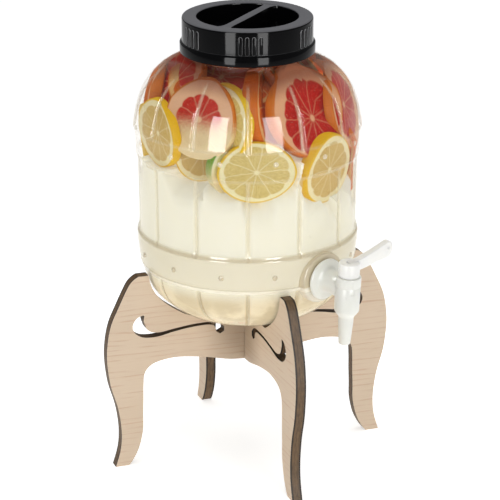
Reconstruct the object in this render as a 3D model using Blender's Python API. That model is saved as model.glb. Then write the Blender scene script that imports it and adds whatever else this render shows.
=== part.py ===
"""Beverage dispenser jar: barrel-shaped jar with a screw lid and a lever tap, on a slotted two-board stand.

Metres, +Z up. The origin is on the floor, on the jar's own axis. One board of the stand lies along X
and the other along Y. The tap leaves the jar between the leg at -Y and the leg at +X.
"""
import math

import bmesh
import bpy
from mathutils import Matrix, Vector

MM = 0.001

# Clearances shared by all pieces
TOUCH_GAP = 0.3 * MM
CUT_OVERRUN = 3.0 * MM
EMBED = 0.5 * MM

# Stand boards
BOARD_THICK = 9.0 * MM
LEG_REACH = 34.0 * MM
FOOT_SET_BACK = 6.0 * MM
FOOT_WIDTH = 12.0 * MM
LEG_WIDTH = 20.0 * MM
SEAT_HEIGHT = 130.0 * MM
HUB_DEPTH = 46.2 * MM
ARCH_SAG = 9.7 * MM
HORN_RISE = 40.0 * MM
HORN_WIDTH = 9.0 * MM
CRADLE_GAP = 1.5 * MM

# Jar, from the base up
JAR_WALL = 1.5 * MM
BASE_RADIUS = 48.0 * MM
BASE_RING = 5.0 * MM
BASE_PUSH_UP = 4.5 * MM
BASE_STEP_SHARE = 0.6
BASE_FLAT_SHARE = 0.5
BOWL_HEIGHT = 43.7 * MM
LOW_HOOP_RADIUS = 93.0 * MM
LOW_HOOP_HEIGHT = 28.0 * MM
WAIST_RADIUS = 91.2 * MM
WAIST_TAPER = 1.2 * MM
WAIST_HEIGHT = 68.5 * MM
HOOP_STEP = 1.6 * MM
HOOP_FOOT_SHARE = 0.6
HOOP_CROWN_SHARE = 0.8
TOP_HOOP_HEIGHT = 24.3 * MM
RIDGE_RADIUS = 95.8 * MM
RIDGE_UNDERCUT = 0.8 * MM
DOME_HEIGHT = 55.4 * MM
NECK_RADIUS = 50.2 * MM
NECK_FOOT_RADIUS = 51.6 * MM
NECK_HEIGHT = 30.0 * MM
NECK_WALL = 1.8 * MM
NECK_RING_RADIUS = 53.0 * MM
NECK_RING_HEIGHT = 1.6 * MM
STAVES = 13
GROOVE_DEPTH = 2.0 * MM
GROOVE_WIDTH = 4.4 * MM
RIVET_RADIUS = 2.3 * MM
RIVET_RISE = 0.9 * MM
LOW_RIVET_SHARE = 0.48
TOP_RIVET_SHARE = 0.6
LOW_RIVET_INSET = 1.0 * MM

# Screw thread of neck and lid
THREAD_LEAD = 5.0 * MM
THREAD_TURNS = 1.2
THREAD_BASE = 2.0 * MM
THREAD_CREST = 1.0 * MM
THREAD_RISE = 1.6 * MM
THREAD_DROP = 12.0 * MM

# Lid
LID_TOP_WALL = 2.2 * MM
LID_SKIRT_WALL = 1.9 * MM
LID_NECK_GAP = 2.1 * MM
LID_DEPTH = 27.0 * MM
LID_EDGE_ROUND = 1.6 * MM
LID_CHAMFER = 0.5 * MM
LID_FLANGE_RISE = 1.8 * MM
LID_FLANGE_SLOPE = 0.9 * MM
LID_FLANGE_HEIGHT = 8.8 * MM
WELL_RADIUS = 42.0 * MM
WELL_DEPTH = 16.0 * MM
WELL_WALL = 1.8 * MM
BAR_WIDTH = 9.0 * MM
BAR_END_WIDTH = 4.6 * MM
BAR_DROP = 0.5 * MM
BAR_ANGLE = math.radians(44.5)
GRIP_GROUPS = 6
GRIP_RIBS = 4
GRIP_PITCH = math.radians(5.9)
GRIP_START = math.radians(-107.3)
GRIP_WIDTH = 3.6 * MM
GRIP_RISE = 0.9 * MM
GRIP_SHOULDER_SHARE = 0.6
GRIP_HEIGHT = 16.0 * MM
SEAL_THICK = 1.5 * MM

# Tap: X points out of the jar, square to the boss, and Z runs up the barrel
TAP_AZIMUTH = math.radians(-68.2)
TAP_TILT = math.radians(4.0)
TAP_RISE = 50.7 * MM
BOSS_PROUD = 2.0 * MM
BOSS_RADIUS = 21.5 * MM
BOSS_DRAFT = 1.5 * MM
BOSS_DEPTH = 16.0 * MM
BOSS_WALL = 2.2 * MM
WASHER_THICK = 1.2 * MM
WASHER_WIDTH = 5.0 * MM
FLANGE_RADIUS = 17.5 * MM
FLANGE_THICK = 2.8 * MM
SHANK_RADIUS = 8.4 * MM
SHANK_BORE = 5.6 * MM
SHANK_END = 3.5 * MM
ARM_RADIUS = 9.4 * MM
ARM_LENGTH = 24.4 * MM
BARREL_RADIUS = 10.3 * MM
BARREL_RISE = 11.8 * MM
BARREL_DROP = 18.4 * MM
BARREL_FLOOR = 2.0 * MM
SHOULDER_HEIGHT = 5.9 * MM
NOZZLE_RADIUS = 6.3 * MM
NOZZLE_TIP_RADIUS = 4.7 * MM
NOZZLE_LENGTH = 23.9 * MM
NOZZLE_BORE = 3.5 * MM
LUG_WIDTH = 3.2 * MM
LUG_HEIGHT = 2.6 * MM
LUG_RISE = 2.0 * MM
LUG_ANGLE = math.radians(-125)
NUT_ACROSS = 26.0 * MM
NUT_THICK = 6.0 * MM

# Plug and lever
PLUG_RADIUS = 7.6 * MM
PLUG_BORE = 4.6 * MM
PLUG_FOOT_GAP = 1.0 * MM
PORT_RADIUS = 4.2 * MM
COLLAR_RADIUS = 8.8 * MM
COLLAR_HEIGHT = 11.9 * MM
LEVER_LENGTH = 46.0 * MM
LEVER_THICK = 6.4 * MM
LEVER_ROOT_DEPTH = 8.5 * MM
LEVER_TIP_DEPTH = 14.5 * MM
LEVER_RISE = 10.5 * MM
LEVER_DROP = 1.3 * MM
LEVER_NOSE = 5.1 * MM
LEVER_EDGE_ROUND = 0.8 * MM
ORING_SECTION = 0.6 * MM
ORING_INSET = 3.0 * MM

# Places that follow from the sizes above
BASE_Z = SEAT_HEIGHT + TOUCH_GAP
BOWL_TOP = BASE_Z + BOWL_HEIGHT
LOW_HOOP_TOP = BOWL_TOP + LOW_HOOP_HEIGHT
TOP_HOOP_FOOT = LOW_HOOP_TOP + WAIST_HEIGHT
RIDGE_Z = TOP_HOOP_FOOT + TOP_HOOP_HEIGHT
NECK_FOOT = RIDGE_Z + DOME_HEIGHT
RIM_Z = NECK_FOOT + NECK_HEIGHT
SEAL_Z = RIM_Z + TOUCH_GAP
LID_ROOF = SEAL_Z + SEAL_THICK + TOUCH_GAP
LID_TOP = LID_ROOF + LID_TOP_WALL
LID_LOW = LID_ROOF - LID_DEPTH
LID_INNER = NECK_RADIUS + LID_NECK_GAP
LID_OUTER = LID_INNER + LID_SKIRT_WALL
STAND_REACH = LOW_HOOP_RADIUS + LEG_REACH
FOOT_REACH = STAND_REACH - FOOT_SET_BACK
HORN_HEIGHT = SEAT_HEIGHT + HORN_RISE
ARCH_MIDDLE = SEAT_HEIGHT - HUB_DEPTH
ARCH_HEIGHT = ARCH_MIDDLE + ARCH_SAG
BOSS_FACE = LOW_HOOP_RADIUS - HOOP_STEP + BOSS_PROUD
FLANGE_BACK = 2 * TOUCH_GAP + WASHER_THICK
FLANGE_FACE = FLANGE_BACK + FLANGE_THICK
BARREL_X = FLANGE_FACE + ARM_LENGTH
INNER_WASHER_X = -BOSS_WALL - TOUCH_GAP - WASHER_THICK
NUT_X = INNER_WASHER_X - TOUCH_GAP - NUT_THICK
SHANK_X = NUT_X - SHANK_END
BARREL_BORE = PLUG_RADIUS + TOUCH_GAP
COLLAR_LOW = BARREL_RISE + TOUCH_GAP
COLLAR_TOP = COLLAR_LOW + COLLAR_HEIGHT
PLUG_LOW = BARREL_FLOOR + PLUG_FOOT_GAP - BARREL_DROP

# Smoothness
LID_SIDES = 48
TAP_SIDES = 24
RIVET_SIDES = 6
RING_SIDES = 6
CURVE_STEPS = 2
LEG_STEPS = 4
HALF_SIDE_SHARE = 1 / 2
RIVET_TURN_SHARE = 1 / 4
SHARP_ANGLE = math.radians(35)


def clear_scene():
    for thing in list(bpy.data.objects):
        bpy.data.objects.remove(thing, do_unlink=True)


def make_material(name, colour, roughness, alpha=1.0):
    material = bpy.data.materials.new(name)
    material.use_nodes = True
    shader = material.node_tree.nodes["Principled BSDF"]
    shader.inputs["Base Color"].default_value = (*colour, 1.0)
    shader.inputs["Roughness"].default_value = roughness
    shader.inputs["Metallic"].default_value = 0.0
    shader.inputs["Alpha"].default_value = alpha
    return material


def add_empty(name, place, parent=None):
    empty = bpy.data.objects.new(name, None)
    bpy.context.scene.collection.objects.link(empty)
    empty.parent = parent
    empty.matrix_local = place
    return empty


def add_object(name, body, material=None, parent=None):
    """Turns a bmesh into a named object and frees it."""
    mesh = bpy.data.meshes.new(name)
    bmesh.ops.recalc_face_normals(body, faces=body.faces)
    body.to_mesh(mesh)
    body.free()
    mesh.shade_smooth()
    mesh.set_sharp_from_angle(angle=SHARP_ANGLE)
    if material:
        mesh.materials.append(material)
    thing = bpy.data.objects.new(name, mesh)
    bpy.context.scene.collection.objects.link(thing)
    thing.parent = parent
    return thing


def boolean(target, operation, name, body):
    """Joins or cuts the target with a hidden helper made from a bmesh, in the target's own frame."""
    helper = add_object(name, body, parent=target.parent)
    helper.hide_render = True
    helper.display_type = "WIRE"
    step = target.modifiers.new(name, "BOOLEAN")
    step.operation = operation
    step.solver = "EXACT"
    step.object = helper


def smooth_curve(points, steps=CURVE_STEPS):
    """Open Catmull-Rom line through the given points."""
    line = []
    last = len(points) - 1
    for index in range(last):
        before = Vector(points[max(index - 1, 0)])
        start = Vector(points[index])
        end = Vector(points[index + 1])
        after = Vector(points[min(index + 2, last)])
        for step in range(steps):
            t = step / steps
            bend = (2 * before - 5 * start + 4 * end - after) * t ** 2
            twist = (3 * start - before - 3 * end + after) * t ** 3
            line.append((2 * start + (end - before) * t + bend + twist) / 2)
    line.append(Vector(points[last]))
    return [tuple(point) for point in line]


def line_normals(points):
    """Unit normals of a line of (x, y) points, to the left of its direction of travel."""
    normals = []
    for index in range(len(points)):
        before = Vector(points[max(index - 1, 0)][:2])
        after = Vector(points[min(index + 1, len(points) - 1)][:2])
        along = (after - before).normalized()
        normals.append(Vector((-along.y, along.x)))
    return normals


def joined_rings(body, one, two):
    """Faces between two closed rings of vertices."""
    sides = len(one)
    for side in range(sides):
        after = (side + 1) % sides
        body.faces.new((one[side], one[after], two[after], two[side]))


def turned(profile, sides, place=Matrix(), phase_share=0):
    """Rings of vertices about Z from (radius, height) pairs, joined one to the next and open at both ends."""
    body = bmesh.new()
    rings = []
    for radius, height in profile:
        angles = [2 * math.pi * (side + phase_share) / sides for side in range(sides)]
        rings.append([body.verts.new(place @ Vector((radius * math.cos(a), radius * math.sin(a), height)))
                      for a in angles])
    for one, two in zip(rings, rings[1:]):
        joined_rings(body, one, two)
    return body, rings


def turned_solid(profile, sides, place=Matrix(), phase_share=0):
    """Turned body whose two ends are closed by flat caps."""
    body, rings = turned(profile, sides, place, phase_share)
    body.faces.new(rings[0])
    body.faces.new(rings[-1])
    return body


def turned_ring(profile, sides, place=Matrix(), phase_share=0):
    """Turned body whose section is a closed loop."""
    body, rings = turned(profile, sides, place, phase_share)
    joined_rings(body, rings[-1], rings[0])
    return body


def rod(radius, low, high, place=Matrix(), sides=TAP_SIDES, phase_share=0):
    return turned_solid([(radius, low), (radius, high)], sides, place, phase_share)


def washer(inner, outer, low, high, place=Matrix(), sides=TAP_SIDES):
    return turned_ring([(inner, low), (outer, low), (outer, high), (inner, high)], sides, place)


def prism(outline, low, high, place=Matrix()):
    """Straight-sided body over an outline of (x, y) pairs, from low to high along Z."""
    body = bmesh.new()
    bottom = [body.verts.new(place @ Vector((x, y, low))) for x, y in outline]
    top = [body.verts.new(place @ Vector((x, y, high))) for x, y in outline]
    body.faces.new(list(reversed(bottom)))
    body.faces.new(top)
    joined_rings(body, bottom, top)
    return body


def add_body(target, extra):
    """Copies one bmesh into another and frees it."""
    carrier = bpy.data.meshes.new("carrier")
    extra.to_mesh(carrier)
    extra.free()
    target.from_mesh(carrier)
    bpy.data.meshes.remove(carrier)


def helix_rib(root_radius, tip_radius, start_height, sides):
    """Screw thread rib: a tapered section carried round, and up by one lead a turn."""
    body = bmesh.new()
    sections = []
    for step in range(round(THREAD_TURNS * sides) + 1):
        angle = 2 * math.pi * step / sides
        middle = start_height + THREAD_LEAD * step / sides
        corners = []
        for radius, width in ((root_radius, -THREAD_BASE), (tip_radius, -THREAD_CREST),
                              (tip_radius, THREAD_CREST), (root_radius, THREAD_BASE)):
            place = Vector((radius * math.cos(angle), radius * math.sin(angle), middle + width / 2))
            corners.append(body.verts.new(place))
        sections.append(corners)
    for one, two in zip(sections, sections[1:]):
        joined_rings(body, one, two)
    body.faces.new(sections[0])
    body.faces.new(list(reversed(sections[-1])))
    return body


# Jar profile
def lower_profile():
    """Jar's outer (radius, height, groove share) rows from the low hoop's foot to the middle of the base."""
    bowl_share = ((0.909, 0.975, 1), (0.857, 0.755, 1), (0.764, 0.542, 1),
                  (0.58, 0.33, 0.9), (0.332, 0.142, 0.6), (0.134, 0.03, 0.2))
    span = LOW_HOOP_RADIUS - BASE_RADIUS
    rows = [(BASE_RADIUS + across * span, BASE_Z + up * BOWL_HEIGHT, groove) for across, up, groove in bowl_share]
    rows.append((BASE_RADIUS, BASE_Z, 0))
    return rows


def base_profile():
    inner = BASE_RADIUS - BASE_RING
    return [(inner, BASE_Z, 0), (inner - BASE_PUSH_UP, BASE_Z + BASE_PUSH_UP * BASE_STEP_SHARE, 0),
            (inner * BASE_FLAT_SHARE, BASE_Z + BASE_PUSH_UP, 0)]


def hoop_profile():
    low_share = ((1.0, 1.0), (0.996, 0.62), (0.983, 0.3), (0.967, 0.0))
    rows = [(across * LOW_HOOP_RADIUS, BOWL_TOP + up * LOW_HOOP_HEIGHT, 0) for across, up in low_share]
    waist_top = WAIST_RADIUS + WAIST_TAPER
    waist = [(waist_top + HOOP_STEP * HOOP_FOOT_SHARE, TOP_HOOP_FOOT, 0),
             (waist_top, TOP_HOOP_FOOT - HOOP_STEP, 1),
             (WAIST_RADIUS, LOW_HOOP_TOP + 2 * HOOP_STEP, 1)]
    return waist + rows


def dome_profile():
    dome_share = ((0.167, 0.98, 0), (0.371, 0.906, 0.6), (0.563, 0.792, 1), (0.722, 0.653, 1),
                  (0.846, 0.487, 1), (0.937, 0.274, 1), (0.99, 0.07, 0.8))
    span = RIDGE_RADIUS - NECK_FOOT_RADIUS
    rows = [(NECK_FOOT_RADIUS + across * span, RIDGE_Z + up * DOME_HEIGHT, groove)
            for across, up, groove in dome_share]
    rows.append((RIDGE_RADIUS, RIDGE_Z, 0))
    rows.append((RIDGE_RADIUS - RIDGE_UNDERCUT, TOP_HOOP_FOOT + TOP_HOOP_HEIGHT * HOOP_CROWN_SHARE, 0))
    return rows


def neck_profile():
    ring_top = LID_LOW - 2 * TOUCH_GAP
    ring_low = ring_top - NECK_RING_HEIGHT
    return [(NECK_RADIUS, RIM_Z, 0), (NECK_RADIUS, ring_top, 0), (NECK_RING_RADIUS, ring_top, 0),
            (NECK_RING_RADIUS, ring_low, 0), (NECK_FOOT_RADIUS, ring_low, 0), (NECK_FOOT_RADIUS, NECK_FOOT, 0)]


def stave_columns():
    """Angles round the jar with each one's share of the groove depth; the tap is in the middle of a stave."""
    pitch = 2 * math.pi / STAVES
    edge = GROOVE_WIDTH / 2 / WAIST_RADIUS
    columns = []
    for stave in range(STAVES):
        groove = TAP_AZIMUTH + (stave + 1 / 2) * pitch
        columns += [(groove - edge, 0), (groove, 1), (groove + edge, 0), (groove + pitch / 2, 0)]
    return columns


def barrel(rows):
    """Closed body round Z with the staves' grooves pressed in and flat ends."""
    body = bmesh.new()
    rings = []
    for radius, height, groove_share in rows:
        ring = []
        for angle, groove in stave_columns():
            reach = radius - GROOVE_DEPTH * groove * groove_share
            ring.append(body.verts.new((reach * math.cos(angle), reach * math.sin(angle), height)))
        rings.append(ring)
    for one, two in zip(rings, rings[1:]):
        joined_rings(body, one, two)
    body.faces.new(rings[0])
    body.faces.new(rings[-1])
    return body


def cavity_rows():
    """The inside of the jar: the outer rows moved in by the wall, open through the neck."""
    outer = [(NECK_FOOT_RADIUS, NECK_FOOT, 0)] + dome_profile() + hoop_profile() + lower_profile() + base_profile()
    inner = NECK_RADIUS - NECK_WALL
    rows = [(inner, RIM_Z + CUT_OVERRUN, 0), (inner, NECK_FOOT - JAR_WALL, 0)]
    for (radius, height, groove), normal in list(zip(outer, line_normals(outer)))[1:]:
        rows.append((radius - JAR_WALL * normal.x, height - JAR_WALL * normal.y, groove))
    return rows


def rivets():
    """Domed rivets in the middle of each stave on both hoops."""
    body = bmesh.new()
    pitch = 2 * math.pi / STAVES
    low_z = BOWL_TOP + LOW_HOOP_HEIGHT * LOW_RIVET_SHARE
    top_z = TOP_HOOP_FOOT + TOP_HOOP_HEIGHT * TOP_RIVET_SHARE
    top_radius = WAIST_RADIUS + WAIST_TAPER + HOOP_STEP
    rivet_share = ((1.0, -2.6), (1.0, 0.3), (0.6, 1.0))
    profile = [(across * RIVET_RADIUS, up * RIVET_RISE) for across, up in rivet_share]
    for radius, height in ((LOW_HOOP_RADIUS - LOW_RIVET_INSET, low_z), (top_radius, top_z)):
        for stave in range(STAVES):
            angle = TAP_AZIMUTH + stave * pitch
            if stave == 0 and height == low_z:
                continue
            place = Matrix.Rotation(angle, 4, "Z") @ Matrix.Translation((radius, 0, height)) \
                @ Matrix.Rotation(math.pi / 2, 4, "Y")
            add_body(body, turned_solid(profile, RIVET_SIDES, place, RIVET_TURN_SHARE))
    return body


def tap_place():
    """Frame of the tap: on the boss's face, X out of the jar and a little down."""
    out = Vector((math.cos(TAP_AZIMUTH), math.sin(TAP_AZIMUTH), 0)) * BOSS_FACE
    height = BASE_Z + TAP_RISE
    return Matrix.Translation(out + Vector((0, 0, height))) @ Matrix.Rotation(TAP_AZIMUTH, 4, "Z") \
        @ Matrix.Rotation(TAP_TILT, 4, "Y")


def along_x():
    """Turns a body made along Z to lie along X."""
    return Matrix.Rotation(math.pi / 2, 4, "Y")


def make_jar():
    clear = make_material("clear_plastic", (0.93, 0.91, 0.84), 0.08, 0.35)
    rows = neck_profile() + dome_profile() + hoop_profile() + lower_profile() + base_profile()
    jar = add_object("jar_body", barrel(rows), clear)
    face = tap_place() @ along_x()
    boss = [(BOSS_RADIUS + BOSS_DRAFT, -BOSS_DEPTH), (BOSS_RADIUS, 0)]
    boolean(jar, "UNION", "boss", turned_solid(boss, TAP_SIDES, face))
    thread_low = RIM_Z - THREAD_DROP
    thread = helix_rib(NECK_RADIUS - EMBED, NECK_RADIUS + THREAD_RISE, thread_low, LID_SIDES)
    boolean(jar, "UNION", "neck_thread", thread)
    boolean(jar, "UNION", "rivets", rivets())
    boolean(jar, "DIFFERENCE", "cavity", barrel(cavity_rows()))
    pocket = rod(BOSS_RADIUS - JAR_WALL, -BOSS_DEPTH, -BOSS_WALL, face)
    boolean(jar, "DIFFERENCE", "boss_pocket", pocket)
    hole = rod(SHANK_RADIUS + TOUCH_GAP, -BOSS_DEPTH, CUT_OVERRUN, face)
    boolean(jar, "DIFFERENCE", "tap_hole", hole)


# Lid
def make_lid():
    black = make_material("black_plastic", (0.015, 0.015, 0.017), 0.32)
    flange_top = LID_LOW + LID_FLANGE_HEIGHT
    floor = LID_TOP - WELL_DEPTH
    under = floor - WELL_WALL
    well_outer = WELL_RADIUS + WELL_WALL
    edge = LID_OUTER - LID_EDGE_ROUND
    profile = [(WELL_RADIUS - EMBED, floor), (WELL_RADIUS, LID_TOP), (edge, LID_TOP),
               (LID_OUTER - LID_CHAMFER, LID_TOP - LID_CHAMFER),
               (LID_OUTER, LID_TOP - LID_EDGE_ROUND), (LID_OUTER, flange_top),
               (LID_OUTER + LID_FLANGE_RISE, flange_top - LID_FLANGE_SLOPE),
               (LID_OUTER + LID_FLANGE_RISE, LID_LOW), (LID_INNER, LID_LOW), (LID_INNER, LID_ROOF),
               (well_outer, LID_ROOF), (well_outer, under)]
    lid = add_object("lid", turned_solid(profile, LID_SIDES), black)
    boolean(lid, "UNION", "bar", finger_bar(floor))
    boolean(lid, "UNION", "grip_ribs", grip_ribs(flange_top))
    rib_offset = (THREAD_BASE + THREAD_CREST) / 2 + TOUCH_GAP
    thread_low = RIM_Z - THREAD_DROP - rib_offset
    thread = helix_rib(LID_INNER + EMBED, LID_INNER - THREAD_RISE, thread_low, LID_SIDES)
    boolean(lid, "UNION", "lid_thread", thread)


def finger_bar(floor):
    """Bar that parts the two finger wells: wide in the middle, narrower where it meets the rim."""
    reach = WELL_RADIUS + EMBED
    bar_share = ((-1.0, 1.0), (-0.8, 0.8), (-0.45, 0.0), (0.45, 0.0), (0.8, 0.8), (1.0, 1.0))
    edge = [(along * reach, (BAR_WIDTH + wide * (BAR_END_WIDTH - BAR_WIDTH)) / 2) for along, wide in bar_share]
    outline = smooth_curve(edge) + [(x, -y) for x, y in reversed(smooth_curve(edge))]
    turn = Matrix.Rotation(BAR_ANGLE, 4, "Z")
    return prism(outline, floor - EMBED, LID_TOP - BAR_DROP, turn)


def grip_ribs(flange_top):
    body = bmesh.new()
    low = flange_top - EMBED
    high = low + GRIP_HEIGHT
    half = GRIP_WIDTH / 2
    shoulder = LID_OUTER + GRIP_RISE * GRIP_SHOULDER_SHARE
    crest = LID_OUTER + GRIP_RISE
    root = LID_OUTER - EMBED
    section = [(root, -half), (shoulder, -half), (crest, -half / 2), (crest, half / 2), (shoulder, half), (root, half)]
    for group in range(GRIP_GROUPS):
        for rib in range(GRIP_RIBS):
            angle = GRIP_START + group * 2 * math.pi / GRIP_GROUPS + (rib - (GRIP_RIBS - 1) / 2) * GRIP_PITCH
            add_body(body, prism(section, low, high, Matrix.Rotation(angle, 4, "Z")))
    return body


def make_lid_seal():
    grey = make_material("seal_foam", (0.8, 0.8, 0.78), 0.7)
    ring = washer(WELL_RADIUS + WELL_WALL + 2 * TOUCH_GAP, LID_INNER - TOUCH_GAP, SEAL_Z, SEAL_Z + SEAL_THICK,
                  sides=LID_SIDES)
    add_object("lid_seal", ring, grey)


# Tap
def make_tap_body(seat):
    white = make_material("white_plastic", (0.9, 0.91, 0.89), 0.3)
    lie = along_x()
    body = add_object("tap_body", rod(FLANGE_RADIUS, FLANGE_BACK, FLANGE_FACE, lie), white, seat)
    boolean(body, "UNION", "shank", rod(SHANK_RADIUS, SHANK_X, FLANGE_FACE - EMBED, lie))
    boolean(body, "UNION", "arm", rod(ARM_RADIUS, FLANGE_BACK + EMBED, BARREL_X, lie))
    upright = Matrix.Translation((BARREL_X, 0, 0))
    shoulder = -BARREL_DROP - SHOULDER_HEIGHT
    tip = shoulder - NOZZLE_LENGTH
    barrel_shape = [(BARREL_RADIUS, BARREL_RISE), (BARREL_RADIUS, -BARREL_DROP),
                    (NOZZLE_RADIUS, shoulder), (NOZZLE_TIP_RADIUS, tip)]
    boolean(body, "UNION", "barrel", turned_solid(barrel_shape, TAP_SIDES, upright, HALF_SIDE_SHARE))
    boolean(body, "UNION", "stop_lug", stop_lug(upright))
    bore_floor = BARREL_FLOOR - BARREL_DROP
    bore = [(BARREL_BORE, BARREL_RISE + CUT_OVERRUN), (BARREL_BORE, bore_floor),
            (NOZZLE_BORE, bore_floor), (NOZZLE_BORE, tip - CUT_OVERRUN)]
    boolean(body, "DIFFERENCE", "barrel_bore", turned_solid(bore, TAP_SIDES, upright, HALF_SIDE_SHARE))
    boolean(body, "DIFFERENCE", "shank_bore", rod(SHANK_BORE, SHANK_X - CUT_OVERRUN, BARREL_X, lie))


def stop_lug(upright):
    """Small stop on the barrel's rim, on the side away from the lever."""
    half = LUG_WIDTH / 2
    outline = [(BARREL_RADIUS - EMBED, -half), (BARREL_RADIUS + LUG_RISE, -half),
               (BARREL_RADIUS + LUG_RISE, half), (BARREL_RADIUS - EMBED, half)]
    turn = upright @ Matrix.Rotation(LUG_ANGLE, 4, "Z")
    return prism(outline, BARREL_RISE - LUG_HEIGHT - EMBED, BARREL_RISE - EMBED, turn)


def make_tap_lever(axis):
    """Plug and lever in one piece, about the barrel's own axis; closed, its port faces away from the lever."""
    white = make_material("white_lever_plastic", (0.88, 0.89, 0.88), 0.32)
    shape = [(COLLAR_RADIUS, COLLAR_TOP), (COLLAR_RADIUS, COLLAR_LOW), (PLUG_RADIUS, COLLAR_LOW)]
    groove = PLUG_RADIUS - ORING_SECTION * 2 - TOUCH_GAP
    half = ORING_SECTION + TOUCH_GAP
    for middle in oring_places():
        shape += [(PLUG_RADIUS, middle + half), (groove, middle + half), (groove, middle - half),
                  (PLUG_RADIUS, middle - half)]
    shape.append((PLUG_RADIUS, PLUG_LOW))
    lever = add_object("tap_lever_plug", turned_solid(shape, TAP_SIDES, phase_share=HALF_SIDE_SHARE), white, axis)
    boolean(lever, "UNION", "lever_blade", lever_blade())
    boolean(lever, "DIFFERENCE", "plug_bore", rod(PLUG_BORE, PLUG_LOW - CUT_OVERRUN, PORT_RADIUS + PLUG_BORE / 2))
    sideways = Matrix.Rotation(math.pi / 2, 4, "X")
    boolean(lever, "DIFFERENCE", "port", rod(PORT_RADIUS, 0, PLUG_RADIUS + CUT_OVERRUN, sideways))


def lever_blade():
    """Upright blade along +Y that grows deeper and rises toward its tip."""
    root_top = COLLAR_TOP - LEVER_DROP
    tip_top = root_top + LEVER_RISE
    tip_low = tip_top - LEVER_TIP_DEPTH
    upper_share = ((1.0, 0.0), (0.3, 0.4), (0.0, 1.0))
    lower_share = ((0.0, 1.0), (0.35, 0.3), (1.2, 0.0))
    outline = [(0, root_top)]
    outline += [(LEVER_LENGTH - back * LEVER_NOSE, tip_top - down * LEVER_NOSE) for back, down in upper_share]
    outline += [(LEVER_LENGTH - back * LEVER_NOSE, tip_low + up * LEVER_NOSE) for back, up in lower_share]
    outline.append((0, root_top - LEVER_ROOT_DEPTH))
    stand_up = Matrix.Rotation(math.pi / 2, 4, "Z") @ Matrix.Rotation(math.pi / 2, 4, "X")
    blade = prism(outline, -LEVER_THICK / 2, LEVER_THICK / 2, stand_up)
    bmesh.ops.bevel(blade, geom=blade.edges, offset=LEVER_EDGE_ROUND, segments=1, affect="EDGES")
    return blade


def oring_places():
    """Heights of the plug's two O-rings, one over the port and one under it."""
    return COLLAR_LOW - ORING_INSET, PLUG_LOW + ORING_INSET


def make_plug_seals(axis):
    rubber = make_material("seal_rubber", (0.75, 0.75, 0.73), 0.6)
    middle = PLUG_RADIUS - ORING_SECTION
    for name, height in zip(("plug_seal_upper", "plug_seal_lower"), oring_places()):
        angles = [2 * math.pi * side / RING_SIDES for side in range(RING_SIDES)]
        ring = [(middle + ORING_SECTION * math.cos(a), height + ORING_SECTION * math.sin(a)) for a in angles]
        add_object(name, turned_ring(ring, TAP_SIDES), rubber, axis)


def make_tap_fixings(seat):
    rubber = make_material("washer_rubber", (0.82, 0.82, 0.8), 0.65)
    lie = along_x()
    inner = SHANK_RADIUS + TOUCH_GAP
    outer = inner + WASHER_WIDTH
    add_object("tap_outer_washer", washer(inner, outer, TOUCH_GAP, TOUCH_GAP + WASHER_THICK, lie), rubber, seat)
    low = INNER_WASHER_X
    add_object("tap_inner_washer", washer(inner, outer, low, low + WASHER_THICK, lie), rubber.copy(), seat)
    white = make_material("nut_plastic", (0.9, 0.9, 0.88), 0.35)
    corner = NUT_ACROSS / 2 / math.cos(math.pi / 6)
    nut = add_object("tap_nut", rod(corner, NUT_X, NUT_X + NUT_THICK, lie, 6), white, seat)
    boolean(nut, "DIFFERENCE", "nut_bore", rod(inner, NUT_X - CUT_OVERRUN, NUT_X + NUT_THICK + CUT_OVERRUN, lie))


# Stand
def leg_outer():
    """Outer edge of a leg from the horn down: shares of the reach beyond the jar and of the horn's height."""
    outer_share = ((0.29, 0.984), (0.429, 0.951), (0.675, 0.853), (0.882, 0.761), (0.981, 0.665), (1.0, 0.57),
                   (0.922, 0.444), (0.757, 0.33), (0.675, 0.235), (0.656, 0.155), (0.701, 0.08))
    line = [(LOW_HOOP_RADIUS + across * LEG_REACH, up * HORN_HEIGHT) for across, up in outer_share]
    return line + [(FOOT_REACH, 0)]


def outer_across(height):
    """How far out the leg's outer edge is at a height."""
    line = leg_outer()
    for (upper_across, upper), (low_across, low) in zip(line, line[1:]):
        if low <= height <= upper:
            return low_across + (upper_across - low_across) * (height - low) / (upper - low)
    return line[0][0]


def cradle_line():
    """Seat and cradle: flat under the jar's base ring, then along its bowl, up to the horn."""
    rows = list(reversed(lower_profile()[:-1])) + list(reversed(hoop_profile()))
    line = [(radius, height) for radius, height, groove in rows if height < HORN_HEIGHT]
    cradle = [(0, SEAT_HEIGHT), (BASE_RADIUS, SEAT_HEIGHT)]
    for (radius, height), normal in zip(line, line_normals(line)):
        cradle.append((radius - CRADLE_GAP * normal.x, max(height - CRADLE_GAP * normal.y, SEAT_HEIGHT)))
    return cradle


def board_half():
    """Half of a board's outline, from the seat's middle over the horn and down, then back under the arch."""
    cradle = cradle_line()
    inner_horn = cradle[-1][0] + CRADLE_GAP
    horn = [(inner_horn, HORN_HEIGHT), (inner_horn + HORN_WIDTH, HORN_HEIGHT)]
    width_share = ((0.055, 0.72), (0.17, 0.84), (0.33, 0.96), (0.48, 1.04), (0.63, 1.2), (0.77, 1.4), (0.88, 1.55),
                   (0.95, 1.85), (0.985, 2.3))
    inside = [(outer_across(up * ARCH_HEIGHT) - wide * LEG_WIDTH, up * ARCH_HEIGHT) for up, wide in width_share]
    reach = STAND_REACH - LEG_WIDTH
    arch_share = ((0.62, 0.0), (0.48, 0.15), (0.33, 0.46), (0.16, 0.88), (0.0, 1.0))
    arch = [(across * reach, ARCH_HEIGHT - down * ARCH_SAG) for across, down in arch_share]
    half = smooth_curve(cradle[1:] + horn[:1])
    half += smooth_curve(horn[1:] + leg_outer(), LEG_STEPS)
    half += smooth_curve([(FOOT_REACH - FOOT_WIDTH, 0)] + inside + arch, LEG_STEPS)
    return half


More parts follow.
